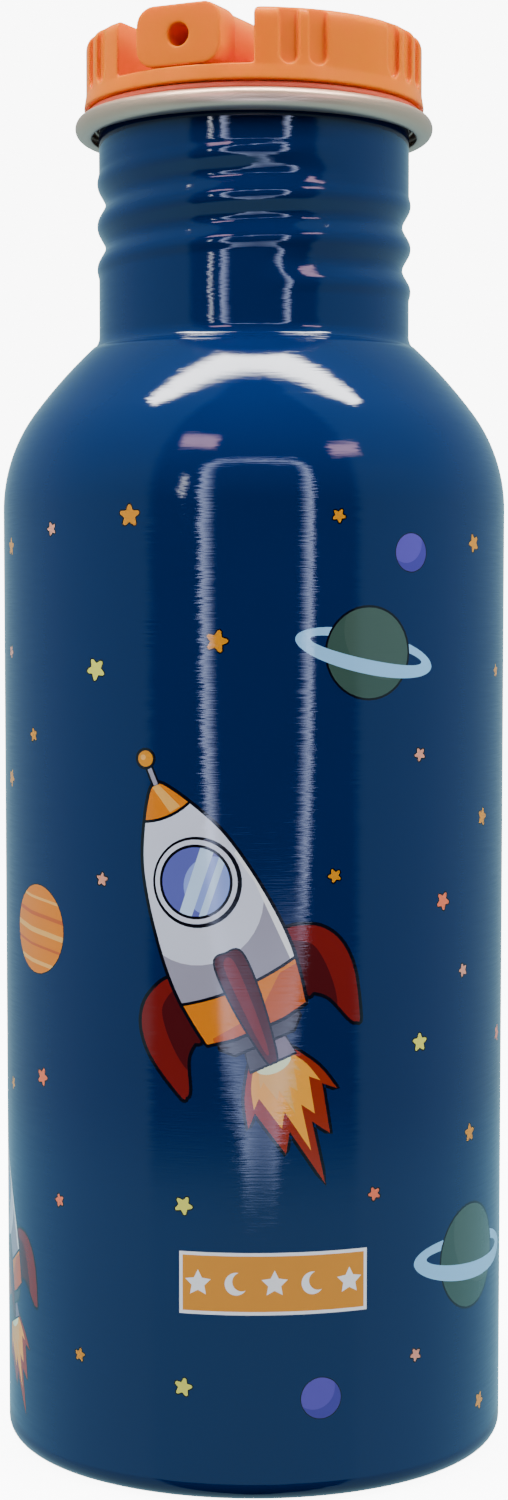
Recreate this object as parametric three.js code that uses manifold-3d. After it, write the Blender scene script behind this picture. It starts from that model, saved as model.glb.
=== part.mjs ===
// Kids' water bottle: a single-wall steel bottle, a screw-in lid and a drinking spout that folds down.
// Millimetres, +Z up, origin at the centre of the foot. The folded spout points along -Y.
import * as THREE from 'three';
import { mergeVertices } from 'three/addons/utils/BufferGeometryUtils.js';
import Module from 'manifold-3d';

const manifold = await Module();
manifold.setup();

// ---- driving dimensions ----
const ROUND = 48; // facets round the bottle and the lid
const SMALL_ROUND = 16; // facets round the small parts

// bottle, outer faces
const SHEET = 0.6;
const FOOT_RADIUS = 35.0;
const FOOT_CORNER = 2.8;
const FOOT_OPENING = 30.0;
const SHOULDER_RADIUS = 35.3;
const SHOULDER_START = 130.9;
const SHOULDER_ARC = 22.7;
const SHOULDER_SLOPE = 0.732; // radians between the cone of the shoulder and the vertical
const NECK_RADIUS = 21.8;
const NECK_FILLET = 2.5;
const BASE_GAP = 0.3;
const BASE_LIFT = 0.2;
const BASE_DISH = 3.0;

// rolled lip
const LIP_CENTRE_RADIUS = 23.6;
const LIP_CENTRE_HEIGHT = 184.2;
const LIP_CURL = 1.5;
const LIP_GAP_ANGLE = 1.0; // radians left open between the curl's edge and the neck

// screw thread, right-hand
const PITCH = 6.0;
const NECK_GROOVE = { startAngle: -1.12, startHeight: 163.1, turns: 2.1, depth: -0.9, halfWidth: 2.4, swell: 0.25 };
const PLUG_RIDGE = { startAngle: -1.12, startHeight: 166.1, turns: 1.25, depth: 1.0, halfWidth: 1.3, swell: 0 };
const THREAD_FADE = 0.12; // turns over which a thread's end dies away
const THREAD_ROWS = 16;

// lid
const LID_BOTTOM = 186.7;
const LID_TOP = 196.5;
const LID_RADIUS = 23.55;
const LID_SKIRT_RADIUS = 23.9;
const LID_EDGE = 1.5;
const LID_WALL = 1.8;
const RECESS_FLOOR = 188.9;
const RECESS_WIDTH = 20.4;
const FLUTE_WIDTH = 2.7;
const FLUTE_DEPTH = 0.9;
const FLUTE_DEGREES = [37.5, 47.5, 80, 90, 100, 132, 142, 170, 180, 190, 218, 228, 260, 270, 280, 312.5, 322.5];

// plug under the lid
const PLUG_BOTTOM = 160.8;
const PLUG_RADIUS = 19.9;
const PLUG_COLLAR_RADIUS = 20.5;
const PLUG_BORE = 17.9;
const PLUG_TOP = 186.6;
const PLUG_PLATE = 1.8;
const GASKET = { inner: 20.8, outer: 23.2, bottom: 185.8, top: 186.6 };

// spout and its hinge, which lies along X
const HINGE_Y = 6.0;
const HINGE_Z = 193.15;
const HUB_RADIUS = 4.05;
const HUB_WIDTH = 12.0;
const HINGE_GAP = 0.3;
const TRUNNION_RADIUS = 1.5;
const TRUNNION_REACH = 8.8;
const TIP_Y = -23.2;
const TIP_WIDTH = 12.6;
const TIP_LENGTH = 5.0;
const TIP_CORNER = 2.6;
const BAR_WIDTH = 11.0;
const DRINK_BORE = 1.55;
const CHEEK_LENGTH = 9.0;

// drinking path and vent
const PORT_RADIUS = 1.8;
const NOZZLE_RADIUS = 2.6;
const NOZZLE_BOTTOM = 178.0;
const SLEEVE_RADIUS = 5.0;
const SLEEVE_BOTTOM = 170.0;
const STRAW_RADIUS = 3.5;
const STRAW_WALL = 0.8;
const STRAW_BOTTOM = 7.0;
const VENT_Y = -9.0;

// ---- shape helpers ----

// An arc's points, from one angle to the other, in the plane of radius and height.
function arc(radius, height, size, from, to, steps) {
  return Array.from({ length: steps + 1 }, (_, i) => {
    const angle = from + ((to - from) * i) / steps;
    return [radius + size * Math.cos(angle), height + size * Math.sin(angle)];
  });
}

// A profile of [radius, height] points turned round the Z axis.
function turned(profile, facets = ROUND) {
  const points = profile.map(([radius, height]) => new THREE.Vector2(radius, height));
  return new THREE.LatheGeometry(points, facets).rotateX(Math.PI / 2);
}

function solid(geometry) {
  const bare = geometry.clone();
  bare.deleteAttribute('normal');
  bare.deleteAttribute('uv');
  const merged = mergeVertices(bare, 1e-4);
  const corners = [];
  for (let i = 0; i < merged.index.count; i += 3) {
    const [a, b, c] = [0, 1, 2].map((k) => merged.index.getX(i + k));
    if (a !== b && b !== c && c !== a) corners.push(a, b, c);
  }
  const triVerts = new Uint32Array(corners);
  const vertProperties = new Float32Array(merged.attributes.position.array);
  return new manifold.Manifold(new manifold.Mesh({ numProp: 3, vertProperties, triVerts }));
}

function surface(body) {
  const mesh = body.getMesh();
  const geometry = new THREE.BufferGeometry();
  geometry.setAttribute('position', new THREE.BufferAttribute(mesh.vertProperties, 3));
  geometry.setIndex(new THREE.BufferAttribute(mesh.triVerts, 1));
  geometry.computeVertexNormals();
  return geometry;
}

// An outline in the XY plane, raised from one height to another.
function raised(shape, bottom, top) {
  const settings = { depth: top - bottom, bevelEnabled: false, curveSegments: 4 };
  return new THREE.ExtrudeGeometry(shape, settings).translate(0, 0, bottom);
}

function upright(radius, x, y, bottom, top) {
  const geometry = new THREE.CylinderGeometry(radius, radius, top - bottom, SMALL_ROUND);
  return geometry.rotateX(Math.PI / 2).translate(x, y, (bottom + top) / 2);
}

function alongX(radius, length) {
  const geometry = new THREE.CylinderGeometry(radius, radius, length, SMALL_ROUND);
  return geometry.rotateZ(Math.PI / 2).translate(0, HINGE_Y, HINGE_Z);
}

function roundedRectangle(width, height, corner) {
  const x = width / 2 - corner;
  const y = height / 2 - corner;
  const quarter = Math.PI / 2;
  const shape = new THREE.Shape();
  shape.absarc(x, -y, corner, -quarter, 0);
  shape.absarc(x, y, corner, 0, quarter);
  shape.absarc(-x, y, corner, quarter, 2 * quarter);
  shape.absarc(-x, -y, corner, 2 * quarter, 3 * quarter);
  return shape;
}

// A smooth hump, 1 at its middle and 0 past its half width.
function hump(away, halfWidth) {
  return away < halfWidth ? Math.cos((away * Math.PI) / 2 / halfWidth) ** 2 : 0;
}

// Pushes the wall in or out along a helix, with the metal between two laps swelling a little the other way.
// Only points farther out than the given radius move.
function pressThread(geometry, thread, fromRadius) {
  const points = geometry.attributes.position;
  for (let i = 0; i < points.count; i++) {
    const [x, y, z] = [points.getX(i), points.getY(i), points.getZ(i)];
    const radius = Math.hypot(x, y);
    if (radius < fromRadius) continue;
    const turn = (Math.atan2(y, x) - thread.startAngle) / (2 * Math.PI);
    let [push, swell] = [0, 0];
    for (let lap = -1; lap <= thread.turns + 1; lap++) {
      const along = turn + lap;
      const away = Math.abs(z - thread.startHeight - PITCH * along);
      const fade = Math.max(0, Math.min(1, along / THREAD_FADE, (thread.turns - along) / THREAD_FADE));
      push = Math.max(push, fade * hump(away, thread.halfWidth));
      swell = Math.max(swell, fade * hump(Math.abs(away - PITCH / 2), PITCH / 4));
    }
    const factor = (radius + thread.depth * push + thread.swell * swell) / radius;
    points.setXYZ(i, x * factor, y * factor, z);
  }
  return geometry;
}

// Heights at even steps through a thread, so that its form can be pressed into the wall.
function threadRows(radius, bottom, top) {
  return Array.from({ length: THREAD_ROWS + 1 }, (_, i) => [radius, bottom + ((top - bottom) * i) / THREAD_ROWS]);
}

// ---- bottle ----

// One face of the sheet, from the foot to the neck's edge, set in from the outer face by a distance.
function bottleFace(inset) {
  const shoulderCentre = SHOULDER_RADIUS - SHOULDER_ARC;
  const coneRun = SHOULDER_RADIUS - NECK_RADIUS - (SHOULDER_ARC + NECK_FILLET) * (1 - Math.cos(SHOULDER_SLOPE));
  const coneRise = coneRun / Math.tan(SHOULDER_SLOPE);
  const neckStart = SHOULDER_START + (SHOULDER_ARC + NECK_FILLET) * Math.sin(SHOULDER_SLOPE) + coneRise;
  const filletStart = Math.PI + SHOULDER_SLOPE;
  const neck = NECK_RADIUS - inset;
  return [
    [FOOT_OPENING, inset],
    ...arc(FOOT_RADIUS - FOOT_CORNER, FOOT_CORNER, FOOT_CORNER - inset, -Math.PI / 2, 0, 4),
    ...arc(shoulderCentre, SHOULDER_START, SHOULDER_ARC - inset, 0, SHOULDER_SLOPE, 6),
    ...arc(NECK_RADIUS + NECK_FILLET, neckStart, NECK_FILLET + inset, filletStart, Math.PI, 2),
    ...threadRows(neck, NECK_GROOVE.startHeight - 4, NECK_GROOVE.startHeight + 16.5),
    [neck, LIP_CENTRE_HEIGHT + 1.2],
  ];
}

function bottleBody() {
  const profile = [...bottleFace(0), ...bottleFace(SHEET).reverse()];
  profile.push(profile[0]);
  return pressThread(turned(profile), NECK_GROOVE, 0);
}

// The base is a disc welded into the foot, dished upwards in the middle.
function bottleBase() {
  const edge = FOOT_OPENING - BASE_GAP;
  const rim = edge - 3;
  const dish = Array.from({ length: 4 }, (_, i) => [(rim * i) / 3, BASE_LIFT + BASE_DISH * Math.cos((i * Math.PI) / 6)]);
  const under = [...dish, [edge, BASE_LIFT]];
  const above = under.map(([radius, height]) => [radius, height + SHEET]).reverse();
  return turned([...under, ...above]);
}

// The lip is the sheet's edge rolled outwards into an open curl, left bare.
function steelLip() {
  const end = -Math.PI + LIP_GAP_ANGLE;
  const outer = arc(LIP_CENTRE_RADIUS, LIP_CENTRE_HEIGHT, LIP_CURL, end, Math.PI, 7);
  const inner = arc(LIP_CENTRE_RADIUS, LIP_CENTRE_HEIGHT, LIP_CURL - SHEET, Math.PI, end, 5);
  return turned([...outer, ...inner, outer[0]]);
}

// ---- lid ----

// The recess seen from above: wide round the spout, narrow between the cheeks that hold the hinge.
function recessOutline(margin) {
  const wide = RECESS_WIDTH / 2 + margin;
  const narrow = HUB_WIDTH / 2 + HINGE_GAP + margin;
  const step = HINGE_Y + HUB_RADIUS - CHEEK_LENGTH + margin;
  const back = HINGE_Y + HUB_RADIUS + 2 * HINGE_GAP + margin;
  const front = -2 * LID_RADIUS;
  const corner = 1.5;
  const quarter = Math.PI / 2;
  const shape = new THREE.Shape();
  shape.moveTo(-wide, front);
  shape.lineTo(wide, front);
  shape.absarc(wide - corner, step - corner, corner, 0, quarter);
  shape.lineTo(narrow, step);
  shape.absarc(narrow - corner, back - corner, corner, 0, quarter);
  shape.absarc(corner - narrow, back - corner, corner, quarter, 2 * quarter);
  shape.lineTo(-narrow, step);
  shape.absarc(corner - wide, step - corner, corner, quarter, 2 * quarter);
  return shape;
}

// A grip flute: open at the top, round at the bottom, sunk into the lid's wall at an angle from the spout.
function flute(degrees) {
  const half = FLUTE_WIDTH / 2;
  const shape = new THREE.Shape();
  shape.moveTo(half, LID_TOP + 2);
  shape.lineTo(-half, LID_TOP + 2);
  shape.absarc(0, RECESS_FLOOR + half, half, Math.PI, 2 * Math.PI);
  const angle = THREE.MathUtils.degToRad(degrees);
  const outward = new THREE.Vector3(Math.sin(angle), -Math.cos(angle), 0);
  const up = new THREE.Vector3(0, 0, 1);
  const sideways = new THREE.Vector3().crossVectors(up, outward);
  const place = new THREE.Matrix4().makeBasis(sideways, up, outward);
  place.setPosition(outward.multiplyScalar(LID_RADIUS - FLUTE_DEPTH));
  return raised(shape, 0, 4).applyMatrix4(place);
}

function lidShell() {
  const blank = solid(turned([
    [0, LID_BOTTOM],
    [LID_SKIRT_RADIUS, LID_BOTTOM],
    [LID_RADIUS, LID_BOTTOM + 2],
    ...arc(LID_RADIUS - LID_EDGE, LID_TOP - LID_EDGE, LID_EDGE, 0, Math.PI / 2, 4),
    [0, LID_TOP],
  ]));
  const hollow = solid(turned([
    [0, LID_BOTTOM - 1],
    [LID_RADIUS - LID_WALL - 0.4, LID_BOTTOM - 1],
    [LID_RADIUS - LID_WALL - 0.4, LID_TOP - LID_WALL],
    [0, LID_TOP - LID_WALL],
  ])).subtract(solid(raised(recessOutline(LID_WALL), LID_BOTTOM - 2, LID_TOP)));
  const sealSeat = upright(3.6, 0, HINGE_Y, RECESS_FLOOR - 1.3, RECESS_FLOOR + 1);
  let shell = blank
    .subtract(solid(raised(recessOutline(0), RECESS_FLOOR, LID_TOP + 2)))
    .subtract(hollow)
    .subtract(solid(alongX(TRUNNION_RADIUS + HINGE_GAP, 2 * (TRUNNION_REACH + HINGE_GAP))))
    .subtract(solid(sealSeat))
    .subtract(solid(upright(PORT_RADIUS, 0, HINGE_Y, LID_BOTTOM - 1, LID_TOP)))
    .subtract(solid(upright(0.6, 0, VENT_Y, LID_BOTTOM - 1, LID_TOP)));
  for (const degrees of FLUTE_DEGREES) shell = shell.subtract(solid(flute(degrees)));
  return surface(shell);
}

// The plug screws into the neck. A nozzle under its plate takes the straw's sleeve.
function lidPlug() {
  const plate = PLUG_TOP - PLUG_PLATE;
  const cup = pressThread(turned([
    [0, plate],
    [PLUG_BORE, plate],
    [PLUG_BORE, PLUG_BOTTOM],
    [PLUG_RADIUS - 0.5, PLUG_BOTTOM],
    ...threadRows(PLUG_RADIUS, PLUG_BOTTOM + 1, PLUG_RIDGE.startHeight + 10),
    [PLUG_COLLAR_RADIUS, PLUG_RIDGE.startHeight + 13],
    [PLUG_COLLAR_RADIUS, PLUG_TOP],
    [0, PLUG_TOP],
  ]), PLUG_RIDGE, PLUG_RADIUS - 1);
  let plug = solid(cup)
    .add(solid(upright(NOZZLE_RADIUS, 0, HINGE_Y, NOZZLE_BOTTOM, plate + 0.5)))
    .subtract(solid(upright(PORT_RADIUS, 0, HINGE_Y, NOZZLE_BOTTOM - 1, PLUG_TOP + 1)))
    .subtract(solid(upright(1.2, 0, VENT_Y, plate - 1, PLUG_TOP + 1)));
  for (const side of [-1, 1]) {
    plug = plug.subtract(solid(upright(0.5, 2.2 * side, VENT_Y, plate - 1, PLUG_TOP + 1)));
  }
  return surface(plug);
}

function gasket() {
  const { inner, outer, bottom, top } = GASKET;
  return turned([[inner, bottom], [outer, bottom], [outer, top], [inner, top], [inner, bottom]]);
}

// ---- spout ----

// The drinking bore runs straight through the bar and the hub, so it meets the port when the spout stands up.
function spout() {
  const height = 2 * HUB_RADIUS;
  const bar = raised(roundedRectangle(BAR_WIDTH, height, TIP_CORNER), 0, HINGE_Y - TIP_Y - 1);
  const tip = raised(roundedRectangle(TIP_WIDTH, height, TIP_CORNER), HINGE_Y - TIP_Y - TIP_LENGTH, HINGE_Y - TIP_Y);
  const forward = (geometry) => solid(geometry.rotateX(Math.PI / 2).translate(0, HINGE_Y, HINGE_Z));
  const bore = upright(DRINK_BORE, 0, 0, -10, HINGE_Y - TIP_Y + 1);
  return surface(
    forward(bar)
      .add(forward(tip))
      .add(solid(alongX(HUB_RADIUS, HUB_WIDTH)))
      .add(solid(alongX(TRUNNION_RADIUS, 2 * TRUNNION_REACH)))
      .subtract(forward(bore)),
  );
}

function spoutSeal() {
  const [inner, outer] = [1.9, 3.3];
  const [bottom, top] = [RECESS_FLOOR - 1.2, RECESS_FLOOR - 0.1];
  const ring = [[inner, bottom], [outer, bottom], [outer, top], [inner, top], [inner, bottom]];
  return turned(ring, SMALL_ROUND);
}

// ---- drinking straw, its sleeve and the vent, which hang under the plug ----

function strawSleeve() {
  const top = PLUG_TOP - PLUG_PLATE - 0.3;
  const grip = NOZZLE_RADIUS + 0.3;
  const socket = STRAW_RADIUS + 0.25;
  return turned([
    [grip, NOZZLE_BOTTOM - 1],
    [socket, NOZZLE_BOTTOM - 1],
    [socket, SLEEVE_BOTTOM],
    [SLEEVE_RADIUS, SLEEVE_BOTTOM],
    [SLEEVE_RADIUS, top],
    [grip, top],
    [grip, NOZZLE_BOTTOM - 1],
  ], SMALL_ROUND);
}

function straw() {
  const inner = STRAW_RADIUS - STRAW_WALL;
  const top = NOZZLE_BOTTOM - 1.5;
  return turned([
    [inner, STRAW_BOTTOM],
    [STRAW_RADIUS, STRAW_BOTTOM],
    [STRAW_RADIUS, top],
    [inner, top],
    [inner, STRAW_BOTTOM],
  ], SMALL_ROUND);
}

// A silicone umbrella valve: its stem sits in the plate and its skirt covers two small breather holes.
function ventValve() {
  const plate = PLUG_TOP - PLUG_PLATE;
  return turned([
    [0, plate - 1.3],
    [1.5, plate - 1.3],
    [3.4, plate - 0.3],
    [0.9, plate - 0.3],
    [0.9, PLUG_TOP - 0.2],
    [0, PLUG_TOP - 0.2],
  ], SMALL_ROUND);
}

// ---- assembly ----

const paintedSteel = { color: 0x14406b, roughness: 0.22, metalness: 0.3 };
const bareSteel = { color: 0xa8a39b, roughness: 0.35, metalness: 1.0 };
const orangePlastic = { color: 0xf98a28, roughness: 0.35, metalness: 0.0 };
const redSilicone = { color: 0xbe4e38, roughness: 0.6, metalness: 0.0 };
const clearSilicone = { color: 0xdedbd2, roughness: 0.55, metalness: 0.0 };
const strawPlastic = { color: 0xe8eef0, roughness: 0.3, metalness: 0.0 };

const bottle = new THREE.Group();
bottle.name = 'kids_water_bottle';

function place(name, geometry, look, x = 0, y = 0) {
  const mesh = new THREE.Mesh(geometry, new THREE.MeshStandardMaterial(look));
  mesh.name = name;
  mesh.position.set(x, y, 0);
  bottle.add(mesh);
}

place('bottle_body', bottleBody(), paintedSteel);
place('bottle_base', bottleBase(), bareSteel);
place('steel_lip', steelLip(), bareSteel);
place('lid_gasket', gasket(), redSilicone);
place('lid_shell', lidShell(), orangePlastic);
place('lid_plug', lidPlug(), orangePlastic);
place('spout', spout(), orangePlastic);
place('spout_seal', spoutSeal(), clearSilicone, 0, HINGE_Y);
place('straw_sleeve', strawSleeve(), clearSilicone, 0, HINGE_Y);
place('straw', straw(), strawPlastic, 0, HINGE_Y);
place('vent_valve', ventValve(), clearSilicone, 0, VENT_Y);

export default bottle;
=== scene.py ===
import math
import bmesh
import bpy
import numpy as np
from mathutils import Matrix, Vector
from mathutils.geometry import delaunay_2d_cdt


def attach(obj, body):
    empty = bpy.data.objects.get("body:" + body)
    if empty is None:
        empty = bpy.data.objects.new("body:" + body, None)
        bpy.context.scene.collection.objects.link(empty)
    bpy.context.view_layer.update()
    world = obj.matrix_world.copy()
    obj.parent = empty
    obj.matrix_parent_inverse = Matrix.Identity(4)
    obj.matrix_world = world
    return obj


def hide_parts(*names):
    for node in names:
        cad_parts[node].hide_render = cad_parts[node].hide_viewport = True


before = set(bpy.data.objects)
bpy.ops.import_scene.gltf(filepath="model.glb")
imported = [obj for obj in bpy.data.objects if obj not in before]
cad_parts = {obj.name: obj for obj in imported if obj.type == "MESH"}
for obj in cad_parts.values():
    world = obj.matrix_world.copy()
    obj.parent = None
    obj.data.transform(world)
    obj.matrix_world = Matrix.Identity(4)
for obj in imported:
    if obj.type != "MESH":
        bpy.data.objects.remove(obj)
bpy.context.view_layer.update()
MM = 0.001

# ---------------------------------------------------------------- painted wall with its print
# One sheet of steel drawn to a straight wall, a shoulder and a neck, with the screw thread rolled in.
# It is painted blue outside, printed with stars, planets and rockets, and lacquered. The inside is bare.

COLUMNS = 192
PRINT_SIDE = math.radians(-64)  # the way the label faces, from the X axis
SHEET = 0.6
FOOT_OPENING = 30.0
FOOT_RADIUS = 35.0
FOOT_CORNER = 2.8
SHOULDER_RADIUS = 35.3
SHOULDER_START = 130.9
SHOULDER_ARC = 22.7
SHOULDER_TURN = 0.64  # the shoulder bends this far at its lower, tighter curve
CONE_ARC = 69.0
CONE_TURN = 0.8156
NECK_RADIUS = 21.8
NECK_FILLET = 2.5
NECK_TOP = 185.4
PITCH = 6.0
THREAD_FADE = 0.12
NECK_GROOVE = dict(start_angle=-1.12, start_height=163.1, turns=2.1, depth=-0.9, half_width=2.4, swell=0.25)


def arc(across, up, size, start, end, steps):
    """Points of an arc, from one angle to the other."""
    return [
        (across + size * math.cos(a), up + size * math.sin(a))
        for a in np.linspace(start, end, steps + 1)
    ]


def rows(radius, bottom, top, step):
    """Points up a straight side, about a step apart."""
    return [(radius, z) for z in np.linspace(bottom, top, round(abs(top - bottom) / step) + 1)]


def softened(profile, radius, steps=3):
    """A closed profile with each corner rounded off."""
    soft = []
    for i, corner in enumerate(profile):
        corner = Vector(corner)
        before = Vector(profile[i - 1]) - corner
        after = Vector(profile[(i + 1) % len(profile)]) - corner
        cut = min(radius, before.length * 0.45, after.length * 0.45)
        a, b = corner + before.normalized() * cut, corner + after.normalized() * cut
        for t in np.linspace(0, 1, steps + 1):
            soft.append(tuple(a * (1 - t) ** 2 + corner * 2 * t * (1 - t) + b * t * t))
    return soft


def spin(profile, columns=COLUMNS, closed=True):
    """Points and faces of a profile of (radius, height) points turned round the Z axis."""
    profile = np.array(profile)
    angles = PRINT_SIDE - math.pi + np.arange(columns) * 2 * math.pi / columns
    points = np.stack([
        np.outer(profile[:, 0], np.cos(angles)),
        np.outer(profile[:, 0], np.sin(angles)),
        np.repeat(profile[:, 1:], columns, axis=1),
    ], -1).reshape(-1, 3)
    faces = []
    for row in range(len(profile) if closed else len(profile) - 1):
        low, high = row * columns, (row + 1) % len(profile) * columns
        for a in range(columns):
            b = (a + 1) % columns
            faces.append((low + a, low + b, high + b, high + a))
    return points, faces


def hump(away, half_width):
    """A smooth swelling: 1 in its middle, and 0 from half its width outwards."""
    return np.where(away < half_width, np.cos(away * math.pi / 2 / half_width) ** 2, 0)


def pressed(points, thread, from_radius=0.0):
    """Pushes points in or out along the thread's helix, as the roller does."""
    radius = np.hypot(points[:, 0], points[:, 1])
    turn = (np.arctan2(points[:, 1], points[:, 0]) - thread["start_angle"]) / (2 * math.pi)
    push, swell = np.zeros(len(points)), np.zeros(len(points))
    for lap in range(-1, int(thread["turns"]) + 2):
        along = turn + lap
        away = np.abs(points[:, 2] - thread["start_height"] - PITCH * along)
        fade = np.clip(np.minimum(along, thread["turns"] - along) / THREAD_FADE, 0, 1)
        push = np.maximum(push, fade * hump(away, thread["half_width"]))
        swell = np.maximum(swell, fade * hump(np.abs(away - PITCH / 2), PITCH / 4))
    change = thread["depth"] * push + thread["swell"] * swell
    factor = np.where(radius >= from_radius, 1 + change / np.maximum(radius, 1e-6), 1)
    return points * np.stack([factor, factor, np.ones(len(points))], -1)


def new_piece(name, points, faces, material, y=0.0):
    """A smooth object from points in millimetres, with doubled points joined and faces turned outwards."""
    mesh = bpy.data.meshes.new(name)
    mesh.from_pydata(((np.array(points) + (0, y, 0)) * MM).tolist(), [], faces)
    shape = bmesh.new()
    shape.from_mesh(mesh)
    bmesh.ops.remove_doubles(shape, verts=shape.verts, dist=1e-7)
    bmesh.ops.recalc_face_normals(shape, faces=shape.faces)
    shape.to_mesh(mesh)
    shape.free()
    mesh.materials.append(material)
    mesh.shade_smooth()
    piece = bpy.data.objects.new(name, mesh)
    bpy.context.collection.objects.link(piece)
    return piece


def rgb(*swatch):
    """A linear colour from its red, green and blue of 0 to 255."""
    return tuple(((c / 255 + 0.055) / 1.055) ** 2.4 if c > 10 else c / 255 / 12.92 for c in swatch)


BLUE = rgb(2, 29, 75)
INK = {
    "line": rgb(10, 10, 20), "amber": rgb(206, 132, 12), "lemon": rgb(216, 212, 84),
    "coral": rgb(228, 108, 70), "salmon": rgb(214, 142, 118), "violet": rgb(82, 66, 164),
    "deep_violet": rgb(62, 50, 142), "sage": rgb(52, 76, 68), "light_sage": rgb(60, 82, 74),
    "sky": rgb(134, 192, 234), "pale_sky": rgb(186, 214, 244), "orange": rgb(212, 118, 10),
    "dark_orange": rgb(184, 84, 30), "sand": rgb(226, 166, 80), "hull": rgb(206, 209, 226),
    "hull_shade": rgb(146, 143, 160), "glass": rgb(88, 92, 168), "glass_light": rgb(134, 154, 222),
    "red": rgb(110, 24, 22), "dark_red": rgb(70, 16, 20), "iron": rgb(66, 63, 74),
    "light_iron": rgb(118, 106, 124), "flame": rgb(138, 40, 20),
    "hot_flame": rgb(236, 158, 44), "white_flame": rgb(222, 234, 190), "white": rgb(236, 236, 240),
    "label": rgb(208, 134, 22),
}
WALL_ROUND = 2 * math.pi * 35.1  # the unrolled wall's width
shapes = []  # each is (outline, ink, clip), painted in order; a clip limits a shape to another outline


def disc(x, y, size, stretch=1.0, steps=40):
    """A circle's outline, or an ellipse's where it is stretched."""
    turns = np.arange(steps) * 2 * math.pi / steps
    return [(x + size * math.cos(a), y + size * stretch * math.sin(a)) for a in turns]


def flowing(corners, steps=6):
    """A closed smooth outline through its points. A point given twice stays sharp."""
    p = [Vector(c) for c in corners]
    out = []
    for i in range(len(p)):
        a, b, c, d = p[i - 1], p[i], p[(i + 1) % len(p)], p[(i + 2) % len(p)]
        if (b - c).length < 1e-6:
            continue
        for t in np.arange(steps) / steps:
            out.append(0.5 * ((2 * b) + (c - a) * t + (2 * a - 5 * b + 4 * c - d) * t * t
                              + (3 * b - a - 3 * c + d) * t ** 3))
    return [tuple(v) for v in out]


def wider(outline, by):
    """The outline moved outwards by a distance, for the dark line round a shape."""
    p = np.array(outline)
    along = np.roll(p, -1, 0) - np.roll(p, 1, 0)
    out = np.stack([along[:, 1], -along[:, 0]], -1)
    out /= np.maximum(np.linalg.norm(out, axis=1, keepdims=True), 1e-9)
    area = np.sum(p[:, 0] * np.roll(p[:, 1], -1) - np.roll(p[:, 0], -1) * p[:, 1])
    return (p + out * by * np.sign(area)).tolist()


def paint(outline, ink, line=0.0, clip=None):
    """Adds a shape to the print, on a dark line that stands out round it where one is asked for."""
    if line:
        shapes.append((wider(outline, line), "line", clip))
    shapes.append((outline, ink, clip))


def star(x, y, size, ink, lean):
    """A five-pointed star with soft points."""
    outline = []
    for k in range(5):
        tip = lean + math.pi / 2 + k * 2 * math.pi / 5
        for turn, reach in ((-0.16, 0.93), (0, 1.0), (0.16, 0.93), (math.pi / 5, 0.56)):
            away = size * reach
            outline.append((x + away * math.cos(tip + turn), y + away * math.sin(tip + turn)))
    paint(outline, ink, line=0.2)


def moon(x, y, size):
    """A plain moon in two shades of violet."""
    body = disc(x, y, size)
    paint(body, "deep_violet", line=0.12)
    paint(disc(x - size * 0.35, y + size * 0.5, size * 1.05), "violet", clip=body)


def ringed_planet(x, y, size, lean):
    """A planet behind a flat ring that tips down to the right."""
    turn = size * np.array([[math.cos(lean), -math.sin(lean)], [math.sin(lean), math.cos(lean)]])

    def ring(start, end):
        sweep = np.linspace(start, end, 48)
        outer = [(1.74 * math.cos(a), 0.47 * math.sin(a)) for a in sweep]
        inner = [(1.42 * math.cos(a), 0.05 + 0.2 * math.sin(a)) for a in sweep[::-1]]
        return (np.array(outer + inner) @ turn.T + (x, y)).tolist()

    paint(ring(0, 2 * math.pi), "sky")
    body = disc(x, y, size)
    paint(body, "sage", line=0.3)
    paint(disc(x + size * 0.5, y + size * 0.5, size * 1.1), "light_sage", clip=body)
    paint(ring(math.pi * 0.97, math.pi * 2.03), "sky")


def striped_planet(x, y, size):
    """A banded planet in three shades of orange."""
    body = disc(x, y, size)
    paint(body, "orange", line=0.15)
    for k, ink in enumerate(("sand", "dark_orange", "sand", "dark_orange", "sand")):
        middle = y + size * (0.72 - 0.36 * k)
        sweep = [(x - size, 1.1), (x - size * 0.3, 0.25), (x + size * 0.4, -0.2), (x + size, -0.7)]
        top = [(u, middle + v) for u, v in sweep]
        under = [(u, middle + v - size * (0.06 + 0.03 * (k % 3))) for u, v in sweep[::-1]]
        paint(top + under, ink, clip=body)


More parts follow.
